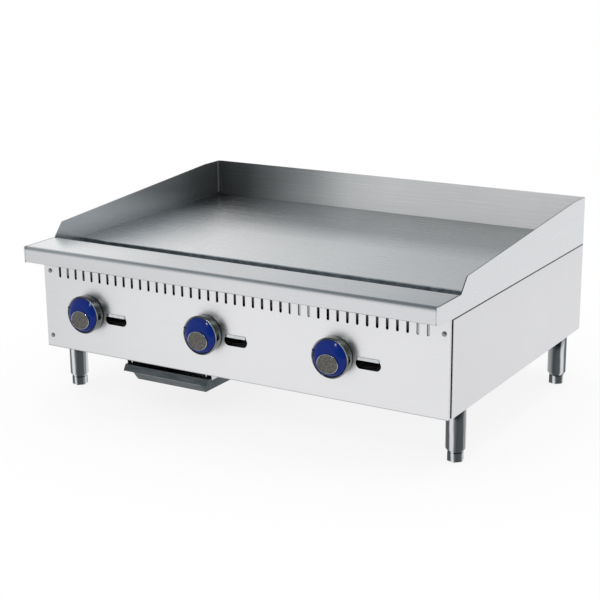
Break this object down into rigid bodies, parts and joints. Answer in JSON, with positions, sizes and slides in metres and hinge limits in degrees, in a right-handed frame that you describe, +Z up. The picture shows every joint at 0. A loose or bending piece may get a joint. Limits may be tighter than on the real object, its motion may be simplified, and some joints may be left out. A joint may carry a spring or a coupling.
{
  "type": "flat top griddle",
  "caption": "Countertop gas griddle: thick steel cooking plate with splash guards, front grease trough and ledge, pull-out grease tray, blue control knobs and screw-adjusted legs.",
  "frame": {"origin": "on the counter under the feet, at the middle of the footprint (ledge front to gas inlet end, side to side)", "axes": "+X to the right as the cook sees it, +Y from the front ledge to the rear splash, +Z up"},
  "size_m": [0.914, 0.726, 0.386],
  "materials": {
    "stainless": "fine brushed stainless sheet, grain along the length of each face",
    "plate_steel": "ground steel cooking plate, light grind lines from left to right",
    "polished_steel": "polished plated steel",
    "knob_chrome": "bright chrome plate",
    "knob_blue": "glossy moulded plastic",
    "knob_silver": "satin",
    "dark_tray": "dark coated steel, satin",
    "galvanised": "galvanised sheet and pipe, dull",
    "brass": "machined",
    "burner_iron": "heat-darkened, matte"
  },
  "bodies": {
    "body": {"left_side_panel": "stainless", "right_side_panel": "stainless", "rear_panel": "stainless", "bottom_pan": "stainless", "front_panel": "stainless", "front_ledge": "stainless", "left_splash": "stainless", "right_splash": "stainless", "rear_splash": "stainless", "grease_trough": "stainless", "tray_runner_left": "stainless", "tray_runner_right": "stainless", "griddle_plate": "plate_steel", "leg_front_left": "polished_steel", "leg_front_right": "polished_steel", "leg_rear_left": "polished_steel", "leg_rear_right": "polished_steel", "grease_chute": "galvanised", "gas_manifold": "galvanised", "gas_supply_pipe": "galvanised", "manifold_bracket_left": "galvanised", "manifold_bracket_right": "galvanised", "front_baffle": "galvanised", "burner_rail_front": "galvanised", "burner_rail_rear": "galvanised", "gas_valve_1": "brass", "gas_valve_2": "brass", "gas_valve_3": "brass", "gas_orifice_1": "brass", "gas_orifice_2": "brass", "gas_orifice_3": "brass", "pilot_burner_1": "brass", "pilot_burner_2": "brass", "pilot_burner_3": "brass", "pilot_tube_1": "brass", "pilot_tube_2": "brass", "pilot_tube_3": "brass", "burner_1": "burner_iron", "burner_2": "burner_iron", "burner_3": "burner_iron", "mixer_tube_1": "burner_iron", "mixer_tube_2": "burner_iron", "mixer_tube_3": "burner_iron"},
    "knob_1": {"knob_skirt_1": "knob_chrome", "knob_grip_1": "knob_blue", "knob_cap_1": "knob_silver", "valve_stem_1": "brass"},
    "knob_2": {"knob_skirt_2": "knob_chrome", "knob_grip_2": "knob_blue", "knob_cap_2": "knob_silver", "valve_stem_2": "brass"},
    "knob_3": {"knob_skirt_3": "knob_chrome", "knob_grip_3": "knob_blue", "knob_cap_3": "knob_silver", "valve_stem_3": "brass"},
    "tray": {"grease_tray": "dark_tray"},
    "front_left_foot": {"foot_front_left": "polished_steel"},
    "front_right_foot": {"foot_front_right": "polished_steel"},
    "rear_left_foot": {"foot_rear_left": "polished_steel"},
    "rear_right_foot": {"foot_rear_right": "polished_steel"}
  },
  "joints": [
    {"name": "knob_1_turn", "type": "hinge", "parent": "body", "child": "knob_1", "pos_m": [-0.3435, -0.308, 0.187], "axis": [0, -1, 0], "range_deg": [0, 180]},
    {"name": "knob_2_turn", "type": "hinge", "parent": "body", "child": "knob_2", "pos_m": [-0.0585, -0.308, 0.187], "axis": [0, -1, 0], "range_deg": [0, 180]},
    {"name": "knob_3_turn", "type": "hinge", "parent": "body", "child": "knob_3", "pos_m": [0.2265, -0.308, 0.187], "axis": [0, -1, 0], "range_deg": [0, 180]},
    {"name": "tray_slide", "type": "slide", "parent": "body", "child": "tray", "axis": [0, -1, 0], "range_m": [0, 0.22]},
    {"name": "front_left_foot_screw", "type": "slide", "parent": "body", "child": "front_left_foot", "axis": [0, 0, -1], "range_m": [0, 0.025]},
    {"name": "front_right_foot_screw", "type": "slide", "parent": "body", "child": "front_right_foot", "axis": [0, 0, -1], "range_m": [0, 0.025]},
    {"name": "rear_left_foot_screw", "type": "slide", "parent": "body", "child": "rear_left_foot", "axis": [0, 0, -1], "range_m": [0, 0.025]},
    {"name": "rear_right_foot_screw", "type": "slide", "parent": "body", "child": "rear_right_foot", "axis": [0, 0, -1], "range_m": [0, 0.025]}
  ]
}
